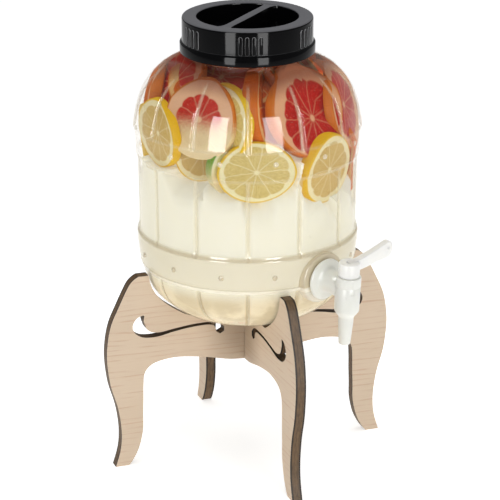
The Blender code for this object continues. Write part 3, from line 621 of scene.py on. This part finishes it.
def make_rivets():
    bpy.ops.object.select_all(action="DESELECT")
    bpy.ops.mesh.primitive_uv_sphere_add(segments=16, ring_count=8, radius=2.3 * MM)
    pattern = bpy.context.object
    bpy.ops.object.mode_set(mode="EDIT")
    bpy.ops.transform.resize(value=(0.42, 1, 1))
    bpy.ops.object.mode_set(mode="OBJECT")
    made = []
    for radius, height in ((91.9, 187.6), (93.9, 285.0)):
        for stave in range(STAVES):
            if stave == 0 and height < 200:
                continue
            turn = Matrix.Rotation(TAP_AZIMUTH + stave * STAVE_PITCH, 4, "Z")
            made.append(copied(pattern, turn @ Matrix.Translation((radius * MM, 0, height * MM))))
    bpy.data.objects.remove(pattern)
    finished(joined("hoop_rivets", made), wall_plastic("rivet_plastic", 0.3, tone(246, 240, 222), 0.1), "jar")


def helix(name, root, tip, low, lead, turns, base, crest):
    """Screw rib: a tapered section carried round and up."""
    body = bmesh.new()
    steps = round(96 * turns)
    sections = []
    for step in range(steps + 1):
        angle = 2 * math.pi * step / 96
        taper = min(1.0, step / 8, (steps - step) / 8)
        middle = low + lead * step / 96
        reach = root + (tip - root) * max(taper, 0.02)
        corners = []
        for radius, half in ((root, -base / 2), (reach, -crest / 2), (reach, crest / 2), (root, base / 2)):
            corners.append(body.verts.new((radius * math.cos(angle), radius * math.sin(angle), middle + half)))
        sections.append(corners)
    for one, two in zip(sections, sections[1:]):
        for side in range(4):
            after = (side + 1) % 4
            body.faces.new((one[side], one[after], two[after], two[side]))
    body.faces.new(sections[0])
    body.faces.new(sections[-1])
    bmesh.ops.recalc_face_normals(body, faces=body.faces)
    mesh = bpy.data.meshes.new(name)
    body.to_mesh(mesh)
    body.free()
    piece = bpy.data.objects.new(name, mesh)
    bpy.context.scene.collection.objects.link(piece)
    return piece


def make_neck_thread(clear):
    rib = helix("neck_screw_rib", 49.9 * MM, 51.8 * MM, 368.2 * MM, 5.0 * MM, 1.2, 2.0 * MM, 1.0 * MM)
    finished(rib, clear, "jar")


def make_boss():
    """Round pad that the tap is screwed to, with its thick tinted rim."""
    rows = [(8.9, 0.0), (20.2, 0.0), (21.0, -0.25), (21.5, -0.9), (21.7, -3.0), (22.0, -8.0), (23.4, -13.0), (8.9, -13.0)]
    boss = turned("tap_boss", scaled(rows + rows[:1]), 64, closed=True)
    placed(boss, tap_place() @ lying())
    finished(boss, wall_plastic("boss_plastic", 0.72, tone(246, 240, 224), 0.2), "jar")


# Drink and fruit
@functools.cache
def wall_line():
    """Heights and inside radii of the wall, from the base up, in mm."""
    line = moved_in(jar_line(), WALL)
    heights = np.array([row[1] for row in line])[::-1]
    radii = np.array([row[0] for row in line])[::-1]
    order = np.argsort(heights)
    return heights[order], radii[order]


def wall_radius(height):
    """Inside radius of the wall at a height, both in mm."""
    return float(np.interp(height, *wall_line()))


# Name, kind, radius and thickness in mm, bearing from the front in degrees, height and depth in from the
# wall in mm, turn, lean and spin in degrees
SLICES = [
    ("left_lemon", "pale_lemon", 29, 8, -79, 297, 12, 0, -4, 10),
    ("left_grapefruit", "sunk_grapefruit", 32, 9, -49, 315, 15, 2, 13, 0),
    ("upper_lemon", "lemon", 31, 8, -35, 313, 25, -34, 4, 12),
    ("peel_strip", "orange", 35, 14, -7, 318, 38, 62, 8, 0),
    ("right_grapefruit", "large_grapefruit", 37, 11, 20, 319, 17, 0, 15, 0),
    ("far_right_grapefruit", "grapefruit", 37, 8, 60, 312, 13, -6, 12, 60),
    ("front_lemon", "lemon", 31.5, 8, -15, 276, 11, 0, 4, 25),
    ("right_lemon", "pale_lemon", 30, 11, 30, 270.5, 11, 3, -8, 50),
    ("right_orange_edge", "orange", 27, 6, 60, 265, 18, 58, -4, 0),
    ("front_lime", "lime", 24, 9, -29, 277.5, 22, 38, -6, 0),
    ("left_pale_edge", "pale_lemon", 24, 7, -54, 284, 29, 36, 6, 0),
    ("upper_left_grapefruit", "grapefruit", 33, 8, -88, 333, 19, 8, 32, 20),
    ("upper_left_orange", "orange", 32, 9, -66, 339, 27, 22, 40, 30),
    ("upper_front_orange", "orange", 30, 9, -18, 342, 34, -10, 46, 80),
    ("upper_front_grapefruit", "grapefruit", 32, 9, -46, 341, 28, -8, 46, 0),
    ("upper_right_orange", "orange", 32, 9, 36, 342, 29, 8, 46, 10),
    ("upper_right_lime", "lime", 24, 6, 52, 344, 24, 10, 46, 40),
    ("side_lemon", "lemon", 30, 8, 92, 284, 12, 0, -8, 12),
    ("side_grapefruit", "grapefruit", 36, 10, 104, 318, 19, 0, 16, 33),
    ("side_orange", "orange", 33, 9, 128, 280, 13, 0, -10, 8),
    ("back_right_lemon", "pale_lemon", 30, 8, 146, 316, 17, 0, 14, 70),
    ("back_grapefruit", "grapefruit", 35, 10, 176, 288, 14, 0, -6, 44),
    ("back_lemon", "lemon", 29, 8, 186, 325, 20, 0, 22, 5),
    ("back_lime", "lime", 25, 6, 208, 268, 11, 0, -10, 15),
    ("back_left_orange", "orange", 33, 9, 222, 306, 16, 0, 8, 60),
    ("back_left_lemon", "lemon", 30, 8, 244, 276, 12, 0, -9, 27),
    ("side_left_grapefruit", "grapefruit", 33, 10, 247, 312, 16, 0, 10, 52),
]
# Height of the slices that are not round, as a share of their width
OVAL = {"front_lemon": 0.8, "right_orange_edge": 1.2}


def slice_place(bearing, height, inset, turn, lean, spin, tall):
    """Frame of a slice: Z is its cut face's outward normal."""
    radius = (wall_radius(height) - inset) * MM
    angle = math.radians(bearing) - math.pi / 2
    place = Matrix.Translation((radius * math.cos(angle), radius * math.sin(angle), height * MM))
    face = Matrix.Rotation(angle + math.radians(turn), 4, "Z") @ Matrix.Rotation(math.radians(90 - lean), 4, "Y")
    return place @ face @ Matrix.Scale(tall, 4, (1, 0, 0)) @ Matrix.Rotation(math.radians(spin), 4, "Z")


def fruit_disc(name, radius, thickness, seed):
    """Slice of fruit: a thick disc, its rim rounded and a little uneven, with the cut faces mapped."""
    bpy.ops.object.select_all(action="DESELECT")
    bpy.ops.mesh.primitive_cylinder_add(vertices=72, radius=radius, depth=thickness)
    piece = bpy.context.object
    piece.name = name
    bpy.ops.object.mode_set(mode="EDIT")
    bpy.ops.mesh.select_all(action="DESELECT")
    bpy.ops.mesh.select_face_by_sides(number=72, type="EQUAL")
    for share in (0.035, 0.06, 0.14, 0.25, 0.25):
        bpy.ops.mesh.inset(thickness=radius * share, use_outset=False)
    bpy.ops.object.mode_set(mode="OBJECT")
    dice = random.Random(seed)
    phases = [dice.uniform(0, 2 * math.pi) for wave in range(3)]
    cut_face = piece.data.uv_layers.new(name="cut_face")
    for polygon in piece.data.polygons:
        polygon.material_index = 0 if abs(polygon.normal.z) > 0.7 else 1
        for loop in polygon.loop_indices:
            co = piece.data.vertices[piece.data.loops[loop].vertex_index].co
            cut_face.data[loop].uv = (0.5 + co.x / radius / 2, 0.5 + co.y / radius / 2)
    for vertex in piece.data.vertices:
        x, y, z = vertex.co
        angle, reach = math.atan2(y, x), math.hypot(x, y) / radius
        wave = sum(math.sin((index + 2) * angle + phase) for index, phase in enumerate(phases))
        vertex.co.x *= 1 + 0.012 * wave
        vertex.co.y *= 1 + 0.012 * wave
        vertex.co.z += radius * 0.02 * reach * reach * math.sin(2 * angle + phases[0])
    for layer in list(piece.data.uv_layers):
        if layer.name != "cut_face":
            piece.data.uv_layers.remove(layer)
    bevelled(piece, thickness * 0.14, 2, 60)
    return piece


def pressed_to_wall(piece, gap=0.35):
    """Bends what would reach past the wall back inside it, as soft fruit does."""
    for vertex in piece.data.vertices:
        x, y, z = vertex.co
        radius = math.hypot(x, y)
        most = (wall_radius(z / MM) - gap) * MM - GROOVE_DEPTH * MM * groove_at(x, y, z / MM)
        if radius > most:
            vertex.co.x *= most / radius
            vertex.co.y *= most / radius


def make_fruit():
    faces = {kind: flesh(kind, look) for kind, look in FRUIT.items()}
    peels = {kind: peel(kind, look) for kind, look in FRUIT.items()}
    discs = []
    for seed, (name, kind, radius, thick, bearing, height, inset, turn, lean, spin) in enumerate(SLICES):
        piece = fruit_disc(name, radius * MM, thick * MM, seed)
        place = slice_place(bearing, height, inset, turn, lean, spin, OVAL.get(name, 1.0))
        placed(piece, place)
        pressed_to_wall(piece)
        piece.data.materials.clear()
        piece.data.materials.append(faces[kind])
        piece.data.materials.append(peels[kind])
        smooth(piece, 50)
        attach(piece, "jar")
        discs.append((place.inverted(), radius * MM, thick * MM))
    return discs


def make_lemonade(discs):
    """The drink: fills the jar, and draws back behind each slice that lies against the wall."""
    line = [(44.0, 356.0), (46.8, 355.0), (47.6, 352.0), (47.8, 349.0), (49.0, 347.6)]
    line += [row for row in moved_in(jar_line(), WALL + 0.25) if row[0] > 50.0 or row[1] < 300.0]
    drink = turned("lemonade", scaled(line), angles=stave_angles())
    press_grooves(drink)
    bpy.ops.object.select_all(action="DESELECT")
    drink.select_set(True)
    bpy.context.view_layer.objects.active = drink
    draw_back(drink, discs)
    finished(drink, lemonade_colour(), "jar", angle=75)


def draw_back(drink, discs):
    count = len(drink.data.vertices)
    flat = np.zeros(count * 3)
    drink.data.vertices.foreach_get("co", flat)
    points = flat.reshape(-1, 3)
    radius = np.hypot(points[:, 0], points[:, 1])
    out = points[:, :2] / np.maximum(radius, 1e-6)[:, None]
    reach = radius.copy()
    for depth in np.arange(0.0, 0.044, 0.001):
        distance = radius - depth
        probe = np.column_stack([out * distance[:, None], points[:, 2], np.ones(count)])
        inside = np.zeros(count, bool)
        for inverse, disc_radius, thick in discs:
            local = probe @ np.array(inverse).T
            near = np.hypot(local[:, 0], local[:, 1]) < disc_radius * 1.01
            inside |= near & (np.abs(local[:, 2]) < thick / 2 + 0.0008)
        inside &= (distance > 0.03) & (points[:, 2] > 0.2) & (points[:, 2] < 0.35)
        reach[inside] = distance[inside] - 0.001
    points[:, 0] = out[:, 0] * reach
    points[:, 1] = out[:, 1] * reach
    drink.data.vertices.foreach_set("co", points.ravel())
    drink.data.update()


# Lid
def make_lid():
    black = lid_plastic()
    floor, well = 368.5, 42.0
    rows = [(4.0, 366.7), (43.4, 366.7), (43.8, 367.2), (43.8, 382.3), (52.3, 382.3), (52.3, 355.6), (52.6, 355.3),
            (55.6, 355.3), (56.0, 355.7), (56.0, 362.9), (55.7, 363.5), (54.6, 364.1), (54.25, 364.5), (54.2, 365.0),
            (54.2, 382.6), (54.0, 383.5), (53.5, 384.1), (52.7, 384.45), (51.8, 384.49), (43.2, 384.49), (42.5, 384.3),
            (42.1, 383.7), (42.0, 383.0), (42.0, 369.4), (41.8, 368.8), (41.2, 368.5), (4.0, 368.5)]
    shell = turned("lid_shell", scaled(rows), 160)
    bar = finger_bar(floor, well)
    ribs = grip_ribs()
    thread = helix("lid_screw_rib", 52.5 * MM, 50.7 * MM, 366.4 * MM, 5.0 * MM, 1.2, 2.0 * MM, 1.0 * MM)
    lid = joined("screw_lid", [shell, bar, thread] + ribs)
    finished(lid, black, "lid")
    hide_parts("lid")


def prism(name, outline, low, high, edge=0.0, segments=2):
    """Straight-sided piece over a flat outline, its edges rounded."""
    body = bmesh.new()
    face = body.faces.new([body.verts.new((x, y, low)) for x, y in outline])
    grown = bmesh.ops.extrude_face_region(body, geom=[face])
    lifted = [part for part in grown["geom"] if isinstance(part, bmesh.types.BMVert)]
    bmesh.ops.translate(body, verts=lifted, vec=(0, 0, high - low))
    bmesh.ops.recalc_face_normals(body, faces=body.faces)
    mesh = bpy.data.meshes.new(name)
    body.to_mesh(mesh)
    body.free()
    piece = bpy.data.objects.new(name, mesh)
    bpy.context.scene.collection.objects.link(piece)
    if edge:
        bevelled(piece, edge, segments, 50)
    return piece


def finger_bar(floor, well):
    points = [(-1.0, 10.5), (-0.97, 7.6), (-0.9, 5.2), (-0.78, 3.9), (-0.5, 3.7), (0.0, 3.9), (0.5, 3.7), (0.78, 3.5),
              (0.9, 3.9), (0.96, 5.0), (1.0, 6.4)]
    edge = curve_through([(share * (well + 0.4), half) for share, half in points], 3)
    outline = [(x * MM, y * MM) for x, y in edge] + [(-x * MM, -y * MM) for x, y in edge]
    bar = prism("bar", outline, (floor - 0.5) * MM, LID_TOP - 0.5 * MM, 0.6 * MM)
    placed(bar, Matrix.Rotation(math.radians(44.5), 4, "Z"))
    return bar


def grip_ribs():
    """Six groups of four raised ribs with rounded ends."""
    half, tall = 1.75 * MM, 15.6 * MM
    outline = []
    for step in range(9):
        angle = math.pi * step / 8
        outline.append((half * math.cos(angle), tall / 2 - half + half * math.sin(angle)))
    outline += [(-x, -y) for x, y in outline]
    pattern = prism("rib", outline, -0.6 * MM, 0.8 * MM, 0.45 * MM)
    stand_up = Matrix.Rotation(math.pi / 2, 4, "Y") @ Matrix.Rotation(math.pi / 2, 4, "Z")
    placed(pattern, Matrix.Translation((SKIRT_RADIUS, 0, 372.4 * MM)) @ stand_up)
    made = []
    for group in range(6):
        for rib in range(4):
            angle = -107.3 + group * 60 + (rib - 1.5) * 5.9
            made.append(copied(pattern, Matrix.Rotation(math.radians(angle), 4, "Z")))
    bpy.data.objects.remove(pattern)
    return made


# Tap
def make_tap():
    milky = milky_plastic("milky_tap_plastic", tone(232, 232, 223))
    seat = tap_place()
    lie = seat @ lying()
    barrel_axis = seat @ Matrix.Translation((29.0 * MM, 0, 0))
    flange = turned("flange", scaled([(6.0, -13.5), (8.4, -13.5), (8.4, 1.8), (15.6, 1.8), (17.1, 2.0), (17.5, 2.6),
                                      (17.5, 3.5), (17.1, 4.2), (16.2, 4.6), (12.2, 4.9), (10.9, 5.5), (10.1, 6.6),
                                      (9.8, 8.4), (9.5, 12.0), (9.4, 29.0), (5.6, 29.0), (5.6, -13.2)]), 72)
    placed(flange, lie)
    barrel = turned("barrel", scaled([(7.9, 11.6), (8.3, 11.8), (9.8, 11.8), (10.25, 11.5), (10.4, 10.9), (10.4, 3.6),
                                      (10.15, 3.2), (10.3, 2.9), (10.3, -17.4), (10.0, -18.6), (8.6, -20.6),
                                      (7.2, -22.4), (6.5, -23.6), (6.3, -24.6), (6.2, -29.0), (4.9, -47.2),
                                      (4.6, -48.1), (4.1, -48.2), (3.5, -47.9), (3.5, -18.0), (7.9, -16.4),
                                      (7.9, 11.6)]), 72, closed=True)
    placed(barrel, barrel_axis)
    lug = turned("lug", scaled([(1.0, 0.0), (1.7, 0.1), (2.0, 0.6), (2.0, 3.4), (1.7, 4.1), (1.0, 4.3)]), 24)
    placed(lug, barrel_axis @ Matrix.Rotation(math.radians(-125), 4, "Z")
           @ Matrix.Translation((9.4 * MM, 0, 9.8 * MM)) @ lying())
    dimple = turned("gate_mark", scaled([(0.4, 0.0), (1.1, 0.0), (1.3, 0.15), (1.3, 0.4), (0.9, 0.6), (0.4, 0.35)]), 20)
    placed(dimple, barrel_axis @ Matrix.Rotation(math.radians(-22), 4, "Z")
           @ Matrix.Translation((10.0 * MM, 0, -2.0 * MM)) @ lying())
    body = joined("tap_housing", [barrel, flange, lug, dimple])
    finished(body, milky, "jar")
    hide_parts("tap_body")
    make_lever(barrel_axis)


def make_lever(axis):
    """Plug with its collar, and the lever's upright blade that deepens toward a round nose."""
    white = milky_plastic("milky_lever_plastic", tone(242, 241, 236))
    plug = turned("plug", scaled([(4.6, 6.5), (4.6, -15.2), (7.4, -15.2), (7.6, -14.9), (7.6, -13.2), (6.1, -13.2),
                                  (6.1, -11.4), (7.6, -11.4), (7.6, 8.2), (6.1, 8.2), (6.1, 10.0), (7.6, 10.0),
                                  (7.6, 11.95), (8.5, 11.95), (8.8, 12.3), (8.8, 22.6), (8.5, 23.5), (7.7, 24.0),
                                  (6.4, 24.0), (5.9, 23.8), (5.6, 23.8), (3.0, 23.8), (3.0, 6.5)]), 64)
    upper = [(0.0, 23.4), (12.0, 25.6), (24.0, 28.4), (36.0, 31.6), (40.5, 32.9), (43.4, 32.6), (45.3, 30.6),
             (46.0, 27.6)]
    lower = [(46.0, 27.6), (45.4, 23.4), (43.4, 20.2), (40.0, 19.0), (36.0, 18.6), (24.0, 17.2), (12.0, 15.8),
             (0.0, 14.9)]
    outline = curve_through(upper, 3)[:-1] + curve_through(lower, 3)
    blade = prism("blade", [(x * MM, y * MM) for x, y in outline], -3.2 * MM, 3.2 * MM, 0.9 * MM, 3)
    placed(blade, Matrix.Rotation(math.pi / 2, 4, "Z") @ Matrix.Rotation(math.pi / 2, 4, "X"))
    marks = []
    for side in (-1, 1):
        mark = turned("mark", scaled([(0.3, 0.0), (0.9, 0.0), (1.2, 0.1), (1.2, 0.35), (0.8, 0.5), (0.3, 0.25)]), 20)
        placed(mark, Matrix.Translation((side * 2.95 * MM, 41.0 * MM, 27.2 * MM))
               @ Matrix.Rotation(side * math.pi / 2, 4, "Y"))
        marks.append(mark)
    lever = joined("tap_lever", [plug, blade] + marks)
    placed(lever, axis)
    finished(lever, white, "lever")
    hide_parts("tap_lever_plug")


# Nodes that stay as they are, with their finishes
def finish_nodes():
    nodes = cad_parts
    rubber = moulded("washer_rubber", tone(226, 226, 222), 0.62, extra={"Specular IOR Level": 0.35})
    ring = moulded("plug_ring_rubber", tone(206, 206, 202), 0.5, extra={"Specular IOR Level": 0.4})
    foam = moulded("lid_seal_foam", tone(224, 224, 218), 0.8, 0.03, 2200.0)
    nut = moulded("nut_plastic", tone(238, 238, 232), 0.34)
    side = board_finish("oak_side_board", 0, 1)
    front = board_finish("oak_front_board", 1, 0)
    for name, material in (("tap_outer_washer", rubber), ("tap_inner_washer", rubber), ("plug_seal_upper", ring),
                           ("plug_seal_lower", ring), ("lid_seal", foam), ("tap_nut", nut),
                           ("stand_panel_side", side), ("stand_panel_front", front)):
        node = nodes[name]
        for index in range(max(1, len(node.material_slots))):
            if node.material_slots:
                node.material_slots[index].material = material
            else:
                node.data.materials.append(material)


# Room
def make_room():
    bpy.ops.object.select_all(action="DESELECT")
    bpy.ops.mesh.primitive_plane_add(size=14.0, location=(0, 0, 0))
    floor = bpy.context.object
    floor.name = "floor"
    finish = Finish("pale_floor")
    haze = finish.noise(finish.place, 1.5, 3.0)
    base = finish.mix(haze, (0.93, 0.93, 0.93, 1), (0.9, 0.9, 0.9, 1))
    floor.data.materials.append(finish.done(finish.surface({"Base Color": base, "Roughness": 0.8,
                                                            "Emission Color": base, "Emission Strength": 0.6})))
    world = bpy.data.worlds.new("soft_room")
    bpy.context.scene.world = world
    world.use_nodes = True
    world.node_tree.nodes["Background"].inputs["Color"].default_value = (0.97, 0.98, 1.0, 1)
    world.node_tree.nodes["Background"].inputs["Strength"].default_value = 0.3


def soft_light(name, bearing, distance, height, width, tall, power, target, mirrored, shines):
    """Flat studio lamp; mirrored: seen in glossy things; shines: lights them."""
    angle = math.radians(bearing)
    data = bpy.data.lights.new(name, "AREA")
    data.shape = "RECTANGLE"
    data.size, data.size_y = width, tall
    data.energy = power
    light = bpy.data.objects.new(name, data)
    bpy.context.scene.collection.objects.link(light)
    place = Vector((math.sin(angle) * distance, -math.cos(angle) * distance, height))
    light.location = place
    light.rotation_euler = (Vector(target) - place).to_track_quat("-Z", "Y").to_euler()
    light.visible_camera = False
    light.visible_glossy = mirrored
    light.visible_diffuse = shines


def make_lights():
    for name, bearing, power in (("left_window", -49, 5.5), ("right_window", 6, 9.5)):
        soft_light(name, bearing, 1.8, 0.74, 0.56, 1.4, 44.0, (0, 0, 0.5), True, False)
        soft_light(name + "_fill", bearing, 1.8, 0.74, 0.6, 1.4, power, (0, 0, 0.5), False, True)
    soft_light("overhead", 0, 0.05, 2.3, 2.2, 2.2, 27.0, (0, 0, 0), False, True)


def make_camera():
    data = bpy.data.cameras.new("camera")
    data.sensor_width = 36.0
    data.lens = CAMERA_FOCUS * data.sensor_width / PICTURE_WIDTH
    data.shift_x, data.shift_y = 0.00496, 0.00722
    data.clip_start, data.clip_end = 0.1, 50.0
    camera = bpy.data.objects.new("camera", data)
    bpy.context.scene.collection.objects.link(camera)
    camera.location = (-math.sin(CAMERA_TURN) * CAMERA_AWAY, -math.cos(CAMERA_TURN) * CAMERA_AWAY,
                       CAMERA_HEIGHT)
    camera.rotation_euler = (math.pi / 2 - CAMERA_DOWN, 0, -CAMERA_TURN)
    bpy.context.scene.camera = camera
    bpy.context.scene.view_settings.view_transform = "Standard"


make_camera()
make_lights()
make_room()
finish_nodes()
make_jar_wall()
make_lemonade(make_fruit())
make_lid()
make_tap()
